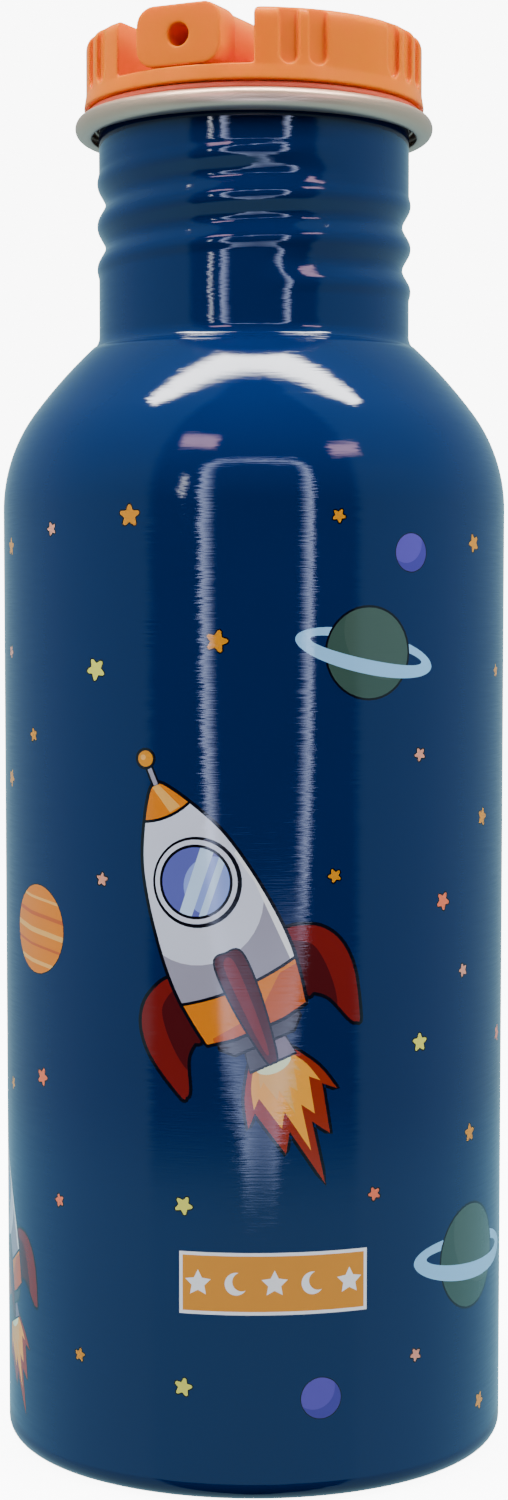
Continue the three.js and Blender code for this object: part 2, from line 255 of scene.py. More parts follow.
def rocket(x, y, scale, lean):
    """A round-windowed rocket, drawn upright about the foot of its hull, then leaned over and placed."""
    turn = scale * np.array([[math.cos(lean), -math.sin(lean)], [math.sin(lean), math.cos(lean)]])

    def put(outline, ink, line=0.0, clip=None):
        placed = (np.array(outline) @ turn.T + (x, y)).tolist()
        held = None if clip is None else (np.array(clip) @ turn.T + (x, y)).tolist()
        paint(placed, ink, line=line * scale, clip=held)

    def flame(size):
        """Five plain tongues of fire, the middle one longest, to a size about the nozzle's mouth."""
        reaches = (7.6, 12.6, 18.4, 12.6, 7.6)
        corners = [(-3, 0), (-3, 0), (-5.3, -3.8)]
        for k, reach in enumerate(reaches):
            tip = (3.2 * (k - 2), -reach)
            corners += [tip, tip]
            if k < len(reaches) - 1:
                dip = (3.2 * (k - 1.5), -0.8 * min(reach, reaches[k + 1]))
                corners += [dip, dip]
        corners += [(5.3, -3.8), (3, 0), (3, 0)]
        return flowing([(size * u, size * v - 4.6) for u, v in corners], 4)

    put(flame(1.0), "flame", line=0.42)
    put(flame(0.74), "hot_flame")
    put(flame(0.45), "sand")
    put(disc(0, -5.4, 2.5, stretch=0.6), "white_flame")
    put([(-3.2, -5.4), (3.2, -5.4), (2.7, -2.4), (-2.7, -2.4)], "light_iron", line=0.36)
    put([(-3.2, -5.4), (-0.6, -5.4), (-1.2, -2.4), (-2.7, -2.4)], "iron")
    put([(-4.2, -2.6), (4.2, -2.6), (5.6, -1.2), (5.6, 0.4), (-5.6, 0.4), (-5.6, -1.2)], "iron", line=0.36)
    fin = [
        (7.5, 1.2), (7.5, 9.2), (11.6, 8.9), (14.2, 6.0), (14.7, 1.4),
        (13.0, -4.9), (12.3, -5.3), (11.6, -4.6), (10.2, -0.9), (8.6, 0.7),
    ]
    fin_shade = [(7, 0.8), (7, 7.9), (10.4, 7.0), (11.4, 4.0), (11.2, -0.6), (10.0, -2.6)]
    for side in (-1, 1):
        outline = flowing([(side * u, v) for u, v in fin])
        put(outline, "red", line=0.46)
        put(flowing([(side * u, v) for u, v in fin_shade]), "dark_red", clip=outline)
    half_hull = flowing([
        (0, 33.9), (0, 33.9), (1.2, 32.9), (3.3, 29.7), (5.6, 25), (7.0, 19.5),
        (7.9, 13), (8.1, 8), (7.7, 4), (7.0, 0), (7.0, 0),
    ])[:49] + [(3.6, -0.6)]
    hull = half_hull + [(-u, v) for u, v in half_hull[::-1]]
    put(hull, "hull_shade", line=0.46)
    put(disc(-0.8, 18.2, 8.9), "hull", clip=hull)
    put([(-9, 17), (4.4, 20), (9, 27), (0, 40), (-9, 30)], "hull", clip=hull)
    put([(6.1, 21.5), (7.1, 17), (7.4, 6), (9, 6), (9, 23)], "white", clip=hull)
    bend = [(u, 6.0 - 0.9 * (1 - (u / 8.2) ** 2)) for u in np.linspace(-8.6, 8.6, 12)]
    put([(u, v + 0.2) for u, v in bend] + [(9, -2), (-9, -2)], "line", clip=hull)
    put([(u, v - 0.2) for u, v in bend] + [(9, -2), (-9, -2)], "orange", clip=hull)
    put([(5.4, 4.9), (9, 5.3), (9, -2), (-6, -2), (-6, 0.4), (1.0, 1.2)], "dark_orange", clip=hull)
    nose = [(u, 29.9 - 0.7 * (1 - (u / 3.6) ** 2)) for u in np.linspace(-4, 4, 10)]
    put([(u, v - 0.2) for u, v in nose] + [(4, 35), (-4, 35)], "line", clip=hull)
    put([(u, v + 0.2) for u, v in nose] + [(4, 35), (-4, 35)], "orange", clip=hull)
    put([(0.2, 33.9), (-0.6, 33.4), (0.4, 29.6), (2.0, 29.8)], "sand", clip=hull)
    put([(-0.3, 33.6), (0.3, 33.6), (0.3, 36.6), (-0.3, 36.6)], "hull_shade", line=0.3)
    put(disc(0, 37.3, 1.05), "amber", line=0.38)
    put(disc(-0.25, 37.6, 0.36), "sand")
    put(disc(0.1, 19.9, 5.95), "line")
    put(disc(0, 20, 5.5), "hull")
    put(disc(0, 20, 4.88), "line")
    glass = disc(0, 20, 4.5)
    put(glass, "glass")
    put(disc(1.9, 18.6, 3.9), "glass_light", clip=glass)
    put([(-4.8, 15.8), (-3.6, 14.6), (4.4, 23.4), (3.2, 24.8)], "pale_sky", clip=glass)
    put([(-2.4, 14.6), (-1.7, 14.0), (5.4, 21.8), (4.9, 22.6)], "pale_sky", clip=glass)
    put(flowing([
        (-1.9, 9.2), (0, 9.9), (1.9, 9.2), (1.9, 3), (0.8, -4.6), (0, -5.4), (-0.8, -4.6), (-1.9, 3),
    ]), "dark_red", line=0.26)
    put(flowing([(-0.9, 8.6), (0.5, 8.8), (0.6, 3), (0.1, -3.6), (-0.5, -3.6), (-0.9, 3)]), "red")


BIG, MIDDLE, SMALL = 1.5, 1.25, 0.92
# Each star is its place across and up the unrolled wall in millimetres, its size and its ink.
STARS = [
    (-16.7, 129.0, BIG, "amber"), (-30.5, 127.6, SMALL, "salmon"), (11.1, 128.9, SMALL, "amber"),
    (34.8, 125.8, MIDDLE, "amber"), (-43.4, 125.6, MIDDLE, "amber"), (-4.8, 112.7, BIG, "amber"),
    (-22.1, 109.0, BIG, "lemon"), (-43.6, 111.2, SMALL, "salmon"), (43.2, 108.6, SMALL, "amber"),
    (-35.3, 100.0, SMALL, "amber"), (-43.9, 93.8, MIDDLE, "amber"), (23.5, 97.8, SMALL, "salmon"),
    (37.9, 88.8, MIDDLE, "amber"), (-21.2, 81.4, SMALL, "salmon"), (10.6, 82.3, SMALL, "amber"),
    (28.0, 78.1, MIDDLE, "coral"), (32.6, 68.4, SMALL, "salmon"), (23.7, 59.6, MIDDLE, "lemon"),
    (-33.4, 53.8, MIDDLE, "coral"), (-44.1, 51.4, SMALL, "amber"), (45.3, 58.2, MIDDLE, "coral"),
    (34.6, 46.0, MIDDLE, "amber"), (-29.5, 37.6, SMALL, "coral"), (-9.3, 39.2, MIDDLE, "lemon"),
    (16.4, 40.2, SMALL, "coral"), (-25.5, 17.4, SMALL, "amber"), (-9.4, 15.2, MIDDLE, "lemon"),
    (23.2, 17.8, SMALL, "salmon"), (38.0, 8.4, MIDDLE, "amber"), (52.0, 118.0, BIG, "lemon"),
    (51.0, 92.0, SMALL, "coral"), (53.5, 72.0, MIDDLE, "amber"), (50.5, 20.0, SMALL, "salmon"),
]
for half in (0, 1):  # the drawing repeats after half a turn, and only the front has the label
    shift = half * WALL_ROUND / 2
    for number, (x, y, size, ink) in enumerate(STARS):
        star(x + shift, y, size, ink, lean=0.5 * math.sin(number * 2.4))
    moon(21.9 + shift, 124.3, 2.5)
    moon(8.9 + shift, 13.8, 2.7)
    ringed_planet(15.4 + shift, 111.2, 5.9, math.radians(-11))
    ringed_planet(35.0 + shift, 29.2, 7.0, math.radians(-4))
    striped_planet(-34.4 + shift, 73.8, 6.0)
    rocket(-45.6 + shift, 22.1, 0.75, math.radians(22))
    rocket(0.3 + shift, 63.2, 1.0, math.radians(23.3))
LABEL = dict(left=-9.9, right=15.3, bottom=25.0, middle=29.1, top=33.2, border=0.45, marks=5)


def label_outline(inset):
    left, right = LABEL["left"] + inset, LABEL["right"] - inset
    bottom, top = LABEL["bottom"] + inset, LABEL["top"] - inset
    return [(left, bottom), (right, bottom), (right, top), (left, top)]


paint(label_outline(0), "white")
paint(label_outline(LABEL["border"]), "label")
for k in range(LABEL["marks"]):  # stars and moons by turns
    x = LABEL["left"] + (k + 0.5) * (LABEL["right"] - LABEL["left"]) / LABEL["marks"]
    y = LABEL["middle"]
    if k % 2:
        crescent = disc(x, y, 1.5)
        paint(crescent, "white")
        paint(disc(x + 0.75, y + 0.3, 1.25), "label", clip=crescent)
    else:
        corners = [(i * math.pi / 5, 0.9 if i % 2 else 1.8) for i in range(10)]
        paint([(x + reach * math.sin(a), y + reach * math.cos(a)) for a, reach in corners], "white")


def inside(outline, points):
    """Which points lie inside an outline."""
    p = np.array(outline)
    q = np.roll(p, -1, 0)
    result = np.zeros(len(points), bool)
    near = np.all((points >= p.min(0)) & (points <= p.max(0)), axis=1)
    x, y = points[near, 0], points[near, 1]
    found = np.zeros(len(x), bool)
    for (x0, y0), (x1, y1) in zip(p, q):
        if y0 != y1:
            crosses = (y0 > y) != (y1 > y)
            found ^= crosses & (x < (x1 - x0) * (y - y0) / (y1 - y0) + x0)
    result[near] = found
    return result


def divided(outline):
    """The outline with its long sides divided, so that it follows the wall's curve."""
    longest = 0.9
    out = []
    for i, (u, z) in enumerate(outline):
        next_u, next_z = outline[(i + 1) % len(outline)]
        count = max(1, math.ceil(math.hypot(next_u - u, next_z - z) / longest))
        out += [(u + (next_u - u) * k / count, z + (next_z - z) * k / count) for k in range(count)]
    return out


def printed_wall():
    """The straight wall, cut along every printed outline so that each ink has faces of its own."""
    half, wall_rows = WALL_ROUND / 2, 64
    across = np.linspace(-half, half, COLUMNS + 1)
    up = np.linspace(FOOT_CORNER, SHOULDER_START, wall_rows + 1)
    flat = [(u, z) for z in up for u in across]
    lines = []
    for outline, _, clip in shapes:
        for loop in (outline, clip):
            if loop is None:
                continue
            loop = [((u + half) % WALL_ROUND - half, z) for u, z in divided(loop)]
            first = len(flat)
            flat += loop
            for i in range(len(loop)):
                a, b = first + i, first + (i + 1) % len(loop)
                if abs(flat[a][0] - flat[b][0]) < half:
                    lines.append((a, b))
    points, _, faces, *_ = delaunay_2d_cdt([Vector(p) for p in flat], lines, [], 0, 1e-5)
    points = np.array(points)
    corners = np.array(faces)
    middles = points[corners].mean(1)
    colours = np.tile(np.array((*BLUE, 1.0)), (len(corners), 1))
    for outline, ink, clip in shapes:
        for shift in (-WALL_ROUND, 0, WALL_ROUND):
            moved = [(u + shift, z) for u, z in outline]
            if max(u for u, _ in moved) < -half or min(u for u, _ in moved) > half:
                continue
            hit = inside(moved, middles)
            if clip is not None:
                hit &= inside([(u + shift, z) for u, z in clip], middles)
            colours[hit, :3] = INK[ink]
    share = (points[:, 1] - FOOT_CORNER) / (SHOULDER_START - FOOT_CORNER)
    radius = FOOT_RADIUS + (SHOULDER_RADIUS - FOOT_RADIUS) * share
    angle = PRINT_SIDE + points[:, 0] / WALL_ROUND * 2 * math.pi
    return np.stack([radius * np.cos(angle), radius * np.sin(angle), points[:, 1]], -1), corners, colours


def face_of_sheet(inset, neck_step):
    """The profile from the wall's top to the neck's edge, set in from the outer face by a distance."""
    across, up = SHOULDER_RADIUS - SHOULDER_ARC, SHOULDER_START
    lower = arc(across, up, SHOULDER_ARC - inset, 0, SHOULDER_TURN, 20)
    across -= (CONE_ARC - SHOULDER_ARC) * math.cos(SHOULDER_TURN)
    up -= (CONE_ARC - SHOULDER_ARC) * math.sin(SHOULDER_TURN)
    upper = arc(across, up, CONE_ARC - inset, SHOULDER_TURN, CONE_TURN, 12)[1:]
    neck_start = up + (CONE_ARC + NECK_FILLET) * math.sin(CONE_TURN)
    fillet_middle = NECK_RADIUS + NECK_FILLET
    fillet = arc(fillet_middle, neck_start, NECK_FILLET + inset, math.pi + CONE_TURN, math.pi, 8)
    return lower + upper + fillet + rows(NECK_RADIUS - inset, neck_start + 0.5, NECK_TOP, neck_step)


def per_vertex(mesh, name):
    """One of a mesh's vertex values, as an array of three numbers each."""
    values = np.empty(len(mesh.vertices) * 3, np.float32)
    mesh.vertices.foreach_get(name, values)
    return values.reshape(-1, 3)


def bottle_mesh(paint_material, steel_material):
    """The printed wall, joined to the turned foot, shoulder, neck and inside face."""
    wall_points, wall_faces, wall_colours = printed_wall()
    outer = face_of_sheet(0, 0.25)
    inner = face_of_sheet(SHEET, 0.5)[::-1]
    foot_inner = arc(FOOT_RADIUS - FOOT_CORNER, FOOT_CORNER, FOOT_CORNER - SHEET, 0, -math.pi / 2, 8)
    foot_outer = arc(FOOT_RADIUS - FOOT_CORNER, FOOT_CORNER, FOOT_CORNER, -math.pi / 2, 0, 10)
    foot_edge = [(FOOT_OPENING, SHEET), (FOOT_OPENING - 0.1, SHEET / 2), (FOOT_OPENING, 0)]
    inside_step = 12
    top, bottom = SHOULDER_START - inside_step, FOOT_CORNER + inside_step
    inner_wall = rows(FOOT_RADIUS - SHEET, top, bottom, inside_step)
    profile = outer + inner + inner_wall + foot_inner + foot_edge + foot_outer
    points, faces = spin(profile, closed=False)
    points = pressed(points, NECK_GROOVE)
    bare = range(len(outer) * COLUMNS, (len(profile) - len(foot_outer) - 1) * COLUMNS)
    slots = [1 if f[0] in bare else 0 for f in faces] + [0] * len(wall_faces)
    all_points = np.concatenate([points, wall_points])
    all_faces = [tuple(f) for f in faces] + [tuple(int(i) + len(points) for i in f) for f in wall_faces]
    colours = np.concatenate([np.tile((*BLUE, 1.0), (len(faces), 1)), wall_colours])
    mesh = bpy.data.meshes.new("painted_bottle")
    mesh.from_pydata((all_points * MM).tolist(), [], all_faces)
    mesh.polygons.foreach_set("material_index", slots)
    ink = mesh.color_attributes.new("ink", "FLOAT_COLOR", "CORNER")
    ink.data.foreach_set("color", np.repeat(colours, [len(f) for f in all_faces], axis=0).ravel())
    shape = bmesh.new()
    shape.from_mesh(mesh)
    bmesh.ops.remove_doubles(shape, verts=shape.verts, dist=2e-6)
    bmesh.ops.dissolve_degenerate(shape, edges=shape.edges, dist=1e-7)
    bmesh.ops.recalc_face_normals(shape, faces=shape.faces)
    shape.to_mesh(mesh)
    shape.free()
    mesh.materials.append(paint_material)
    mesh.materials.append(steel_material)
    mesh.shade_smooth()
    # On the straight wall the shading follows the true cylinder, whatever way the print cut its faces.
    points, normals = per_vertex(mesh, "co") / MM, per_vertex(mesh, "normal")
    radius = np.hypot(points[:, 0], points[:, 1])
    on_wall = (radius > FOOT_RADIUS - 0.05) & (points[:, 2] > FOOT_CORNER - 0.01)
    on_wall &= points[:, 2] < SHOULDER_START + 0.01
    normals[on_wall, :2] = points[on_wall, :2] / radius[on_wall, None]
    normals[on_wall, 2] = 0
    mesh.normals_split_custom_set_from_vertices(normals.tolist())
    bottle = bpy.data.objects.new("painted_bottle", mesh)
    bpy.context.collection.objects.link(bottle)
    return bottle


def principled(name, **values):
    """A new material and its shader, with plain values set on the shader's own sockets."""
    material = bpy.data.materials.new(name)
    material.use_nodes = True
    shader = material.node_tree.nodes["Principled BSDF"]
    for socket, value in values.items():
        shader.inputs[socket.replace("_", " ")].default_value = value
    return material, material.node_tree, shader


def add_group(tree, group, **values):
    """A node group placed in a material, with its own values."""
    node = tree.nodes.new("ShaderNodeGroup")
    node.node_tree = group
    for socket, value in values.items():
        node.inputs[socket.replace("_", " ")].default_value = value
    return node


def maths(tree, operation, *values, kind="ShaderNodeMath"):
    """A math node fed with numbers or with other nodes' results."""
    node = tree.nodes.new(kind)
    node.operation = operation
    for socket, value in zip(node.inputs, values):
        if isinstance(value, bpy.types.NodeSocket):
            tree.links.new(value, socket)
        else:
            socket.default_value = value
    return node.outputs[0]


def vector_maths(tree, operation, *values):
    return maths(tree, operation, *values, kind="ShaderNodeVectorMath")


def noise(tree, where, scale, detail):
    node = tree.nodes.new("ShaderNodeTexNoise")
    node.inputs["Scale"].default_value = scale
    node.inputs["Detail"].default_value = detail
    tree.links.new(where, node.inputs["Vector"])
    return node.outputs["Fac"]


def ranged(tree, source, low, high, start=0.0, stop=1.0):
    """A value spread from one range over another."""
    node = tree.nodes.new("ShaderNodeMapRange")
    for socket, value in (("From Min", start), ("From Max", stop), ("To Min", low), ("To Max", high)):
        node.inputs[socket].default_value = value
    tree.links.new(source, node.inputs["Value"])
    return node.outputs["Result"]


def shaded(tree, colour, factor):
    """A colour or a direction made stronger or weaker by a factor that changes over the surface."""
    node = tree.nodes.new("ShaderNodeVectorMath")
    node.operation = "SCALE"
    tree.links.new(colour, node.inputs[0])
    tree.links.new(factor, node.inputs["Scale"])
    return node.outputs[0]


def two_tones(tree, factor, dark, light):
    """A colour that wanders between two tones."""
    node = tree.nodes.new("ShaderNodeMix")
    node.data_type = "RGBA"
    node.inputs["A"].default_value = (*dark, 1)
    node.inputs["B"].default_value = (*light, 1)
    tree.links.new(factor, node.inputs["Factor"])
    return node.outputs["Result"]


def bumped(tree, shader, height, strength, distance):
    """Small relief on a surface, as deep as the distance in metres."""
    bump = tree.nodes.new("ShaderNodeBump")
    bump.inputs["Strength"].default_value = strength
    bump.inputs["Distance"].default_value = distance
    tree.links.new(height, bump.inputs["Height"])
    tree.links.new(bump.outputs["Normal"], shader.inputs["Normal"])


def streak_group():
    """Fine streaks round the bottle, as brushing and spraying leave them, and a slow cloudiness."""
    group = bpy.data.node_groups.new("round_streaks", "ShaderNodeTree")
    for name, value in (("Streaks per metre", 3000.0), ("Round per metre", 40.0)):
        socket = group.interface.new_socket(name, in_out="INPUT", socket_type="NodeSocketFloat")
        socket.default_value = value
    for name in ("Streaks", "Clouds"):
        group.interface.new_socket(name, in_out="OUTPUT", socket_type="NodeSocketFloat")
    nodes, links = group.nodes, group.links
    entry, leave = nodes.new("NodeGroupInput"), nodes.new("NodeGroupOutput")
    where = nodes.new("ShaderNodeTexCoord")
    combine = nodes.new("ShaderNodeCombineXYZ")
    for i, name in enumerate(("Round per metre", "Round per metre", "Streaks per metre")):
        links.new(entry.outputs[name], combine.inputs[i])
    stretched = vector_maths(group, "MULTIPLY", where.outputs["Object"], combine.outputs[0])
    clouds_per_metre = 45
    links.new(noise(group, stretched, 1, 3), leave.inputs["Streaks"])
    links.new(noise(group, where.outputs["Object"], clouds_per_metre, 4), leave.inputs["Clouds"])
    return group


def hair_group(streaks_group):
    """Turns the surface a hair to the left or right, line by line, as brushed steel under lacquer does."""
    group = bpy.data.node_groups.new("hair_lines", "ShaderNodeTree")
    group.interface.new_socket("Amount", in_out="INPUT", socket_type="NodeSocketFloat").default_value = 0.05
    group.interface.new_socket("Normal", in_out="OUTPUT", socket_type="NodeSocketVector")
    nodes, links = group.nodes, group.links
    entry, leave = nodes.new("NodeGroupInput"), nodes.new("NodeGroupOutput")
    ridges = nodes.new("ShaderNodeBump")
    ridges.inputs["Distance"].default_value = 0.000005
    marks = add_group(group, streaks_group, Streaks_per_metre=7000, Round_per_metre=180)
    links.new(marks.outputs["Streaks"], ridges.inputs["Height"])
    normal = ridges.outputs["Normal"]
    sideways = vector_maths(group, "CROSS_PRODUCT", (0, 0, 1), normal)
    lean = ranged(group, marks.outputs["Streaks"], -1, 1, 0.3, 0.7)
    amount = maths(group, "MULTIPLY", lean, entry.outputs["Amount"])
    turned = vector_maths(group, "ADD", normal, shaded(group, sideways, amount))
    links.new(vector_maths(group, "NORMALIZE", turned), leave.inputs["Normal"])
    return group


round_streaks = streak_group()
hair_lines = hair_group(round_streaks)


def paint_finish():
    """Lacquered paint in the print's own inks, a little cloudy and brushed very finely round the bottle."""
    material, tree, shader = principled("printed_blue_paint", IOR=1.5)
    ink = tree.nodes.new("ShaderNodeAttribute")
    ink.attribute_name = "ink"
    marks = add_group(tree, round_streaks, Streaks_per_metre=2600.0, Round_per_metre=30.0)
    shade = ranged(tree, marks.outputs["Clouds"], 0.93, 1.07)
    tree.links.new(shaded(tree, ink.outputs["Color"], shade), shader.inputs["Base Color"])
    tree.links.new(ranged(tree, marks.outputs["Streaks"], 0.02, 0.08), shader.inputs["Roughness"])
    hair = add_group(tree, hair_lines, Amount=0.017)
    tree.links.new(hair.outputs["Normal"], shader.inputs["Normal"])
    return material


def steel_finish(name, colour, low, high, bump, metallic=1.0):
    """Bare stainless steel, brushed round the bottle."""
    material, tree, shader = principled(name, Metallic=metallic, Anisotropic=0.4)
    marks = add_group(tree, round_streaks, Streaks_per_metre=6000.0, Round_per_metre=60.0)
    tone = two_tones(tree, marks.outputs["Clouds"], [c * 0.8 for c in colour], colour)
    tree.links.new(tone, shader.inputs["Base Color"])
    tree.links.new(ranged(tree, marks.outputs["Streaks"], low, high), shader.inputs["Roughness"])
    bumped(tree, shader, marks.outputs["Streaks"], bump, 0.00002)
    return material


inside_steel = steel_finish("inside_steel", rgb(196, 190, 180), 0.3, 0.48, 0.4)
bottle = bottle_mesh(paint_finish(), inside_steel)
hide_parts("bottle_body")
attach(bottle, "bottle")

# ---------------------------------------------------------------- base disc
# A disc stamped from the same stainless steel, left bare. It is dished upwards so that the bottle
# stands on its foot ring, and it is welded into the foot's opening all round.

BASE_EDGE, BASE_LIFT, BASE_DISH = 29.7, 0.2, 3.0
DISH_RADIUS, FLAT_START = 26.7, 27.6
turns = np.linspace(0.001, 1, 16)
under = [(DISH_RADIUS * t, BASE_LIFT + BASE_DISH * math.cos(t * math.pi / 2)) for t in turns]
under += [(FLAT_START, BASE_LIFT), (BASE_EDGE, BASE_LIFT)]
base_profile = under + [(r, z + SHEET) for r, z in under[::-1]]
base = new_piece("base_disc", *spin(base_profile), inside_steel)
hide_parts("bottle_base")
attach(base, "bottle")

# ---------------------------------------------------------------- rolled lip
# The edge of the wall's own steel sheet. It is rolled outwards into an open curl round the mouth, and
# it stays bare because a mask covers it while the bottle is painted.

LIP_RADIUS, LIP_HEIGHT, LIP_CURL, LIP_GAP = 23.6, 184.2, 1.5, 1.0
curl_end = -math.pi + LIP_GAP
lip_profile = arc(LIP_RADIUS, LIP_HEIGHT, LIP_CURL, curl_end, math.pi, 36)
lip_profile += arc(LIP_RADIUS, LIP_HEIGHT, LIP_CURL - SHEET, math.pi, curl_end, 24)
lip_steel = steel_finish("lip_steel", rgb(240, 198, 168), 0.26, 0.5, 1.0, metallic=0.86)
lip = new_piece("rolled_lip", *spin(lip_profile), lip_steel)
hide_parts("steel_lip")
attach(lip, "bottle")

# ---------------------------------------------------------------- gasket
# A flat ring moulded in silicone. Its coral red is painted light: the glow of the orange lid through the
# seal, painted into its colour. It is pushed over the plug from below, and the lid squeezes it against the
# rolled lip.


def silicone_finish(name, colour, roughness):
    """Moulded silicone: matt, faintly cloudy, and letting a little light in."""
    material, tree, shader = principled(name, Subsurface_Weight=0.15, Subsurface_Scale=0.002)
    marks = add_group(tree, round_streaks, Streaks_per_metre=900.0, Round_per_metre=300.0)
    tone = two_tones(tree, marks.outputs["Clouds"], [c * 0.85 for c in colour], colour)
    tree.links.new(tone, shader.inputs["Base Color"])
    rough = ranged(tree, marks.outputs["Streaks"], roughness - 0.08, roughness + 0.08)
    tree.links.new(rough, shader.inputs["Roughness"])
    bumped(tree, shader, marks.outputs["Streaks"], 0.2, 0.00002)
    return material


gasket_profile = softened([(20.8, 185.8), (23.2, 185.8), (23.2, 186.6), (20.8, 186.6)], 0.25)
# Painted light: the coral red stands in for the orange lid's glow through the translucent seal.
red_silicone = silicone_finish("red_silicone", rgb(232, 92, 60), 0.5)
gasket = new_piece("sealing_ring", *spin(gasket_profile), red_silicone)
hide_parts("lid_gasket")
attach(gasket, "gasket")

# ---------------------------------------------------------------- lid
# One moulding in orange polypropylene: a low cap with grip flutes round its edge, hollow underneath,
# and open at the front where the spout folds into its recess. The plug is welded under it.

LID_BOTTOM, LID_TOP, LID_RADIUS, LID_SKIRT = 186.7, 196.5, 23.55, 23.9
LID_EDGE, LID_WALL, FLUTE_BACKING = 1.5, 1.8, 0.4
RECESS_FLOOR, RECESS_WIDTH = 188.9, 20.4
HINGE_Y, HINGE_Z, HUB_RADIUS, HUB_WIDTH, HINGE_GAP = 6.0, 193.15, 4.05, 12.0, 0.3
STUD_HOLE, STUD_HOLE_REACH, CHEEK_LENGTH = 1.8, 9.1, 9.0
PORT_RADIUS, SEAL_SEAT, SEAT_DEPTH = 1.8, 3.6, 1.3
VENT_Y, VENT_HOLE = -9.0, 0.6
FLUTE_WIDTH, FLUTE_DEPTH = 2.7, 0.9
# The flutes' places, in degrees round the lid from the spout's side.
FLUTES = [37.5, 47.5, 80, 90, 100, 132, 142, 170, 180, 190, 218, 228, 260, 270, 280, 312.5, 322.5]
FINE = 0.17


def prism(outline, low, high, place=None):
    """A closed solid from a flat outline raised from one height to another, then put in its place."""
    shape = bmesh.new()
    loops = [[shape.verts.new((x * MM, y * MM, z * MM)) for x, y in outline] for z in (low, high)]
    count = len(outline)
    for i in range(count):
        j = (i + 1) % count
        shape.faces.new((loops[0][i], loops[0][j], loops[1][j], loops[1][i]))
    shape.faces.new(loops[0][::-1])
    shape.faces.new(loops[1])
    bmesh.ops.recalc_face_normals(shape, faces=shape.faces)
    if place is not None:
        shape.transform(place)
    mesh = bpy.data.meshes.new("cutter")
    shape.to_mesh(mesh)
    shape.free()
    return bpy.data.objects.new("cutter", mesh)


def rod(radius, start, end, steps=32):
    """A closed round rod between two points in millimetres."""
    start, end = Vector(start), Vector(end)
    place = Matrix.Translation(start * MM) @ (end - start).to_track_quat("Z", "Y").to_matrix().to_4x4()
    return prism(disc(0, 0, radius, steps=steps), 0, (end - start).length, place)


def carved(blank, cutters, operation="DIFFERENCE"):
    """Cuts or joins solids, one after the other, and applies the result."""
    for cutter in cutters:
        bpy.context.collection.objects.link(cutter)
        cut = blank.modifiers.new("cut", "BOOLEAN")
        cut.operation = operation
        cut.solver = "EXACT"
        cut.object = cutter
        settle(blank)
        bpy.data.objects.remove(cutter)
    return blank


def settle(piece):
    """Applies a piece's modifiers."""
    bpy.context.view_layer.update()
    seen = piece.evaluated_get(bpy.context.evaluated_depsgraph_get())
    mesh = bpy.data.meshes.new_from_object(seen)
    piece.modifiers.clear()
    piece.data = mesh


def moulded(piece, voxel):
    """Rounds a solid's edges a little, as a moulding has them."""
    remesh = piece.modifiers.new("mould", "REMESH")
    remesh.mode = "VOXEL"
    remesh.voxel_size = voxel * MM
    soften = piece.modifiers.new("soften", "SMOOTH")
    soften.factor = 0.5
    soften.iterations = 12
    settle(piece)
    piece.data.shade_smooth()
    return piece


def recess_outline(margin):
    """The recess from above: wide beside the spout, narrow between the cheeks that hold its studs."""
    wide = RECESS_WIDTH / 2 + margin
    narrow = HUB_WIDTH / 2 + HINGE_GAP + margin
    step = HINGE_Y + HUB_RADIUS - CHEEK_LENGTH + margin
    back = HINGE_Y + HUB_RADIUS + 2 * HINGE_GAP + margin
    front, corner, quarter = -2 * LID_RADIUS, 1.5, math.pi / 2
    return [
        (-wide, front), (wide, front),
        *arc(wide - corner, step - corner, corner, 0, quarter, 6), (narrow, step),
        *arc(narrow - corner, back - corner, corner, 0, quarter, 6),
        *arc(corner - narrow, back - corner, corner, quarter, 2 * quarter, 6), (-narrow, step),
        *arc(corner - wide, step - corner, corner, quarter, 2 * quarter, 6),
    ]


def flute(degrees):
    """A grip flute: round at its foot, open at the lid's top."""
    half = FLUTE_WIDTH / 2
    foot = arc(0, RECESS_FLOOR + half, half, math.pi, 2 * math.pi, 10)
    outline = [(half, LID_TOP + 2), (-half, LID_TOP + 2), *foot]
    angle = math.radians(degrees)
    outward = Vector((math.sin(angle), -math.cos(angle), 0))
    up = Vector((0, 0, 1))
    sideways = up.cross(outward)
    place = Matrix((sideways, up, outward)).transposed().to_4x4()
    place.translation = outward * (LID_RADIUS - FLUTE_DEPTH) * MM
    return prism(outline, 0, 4, place)


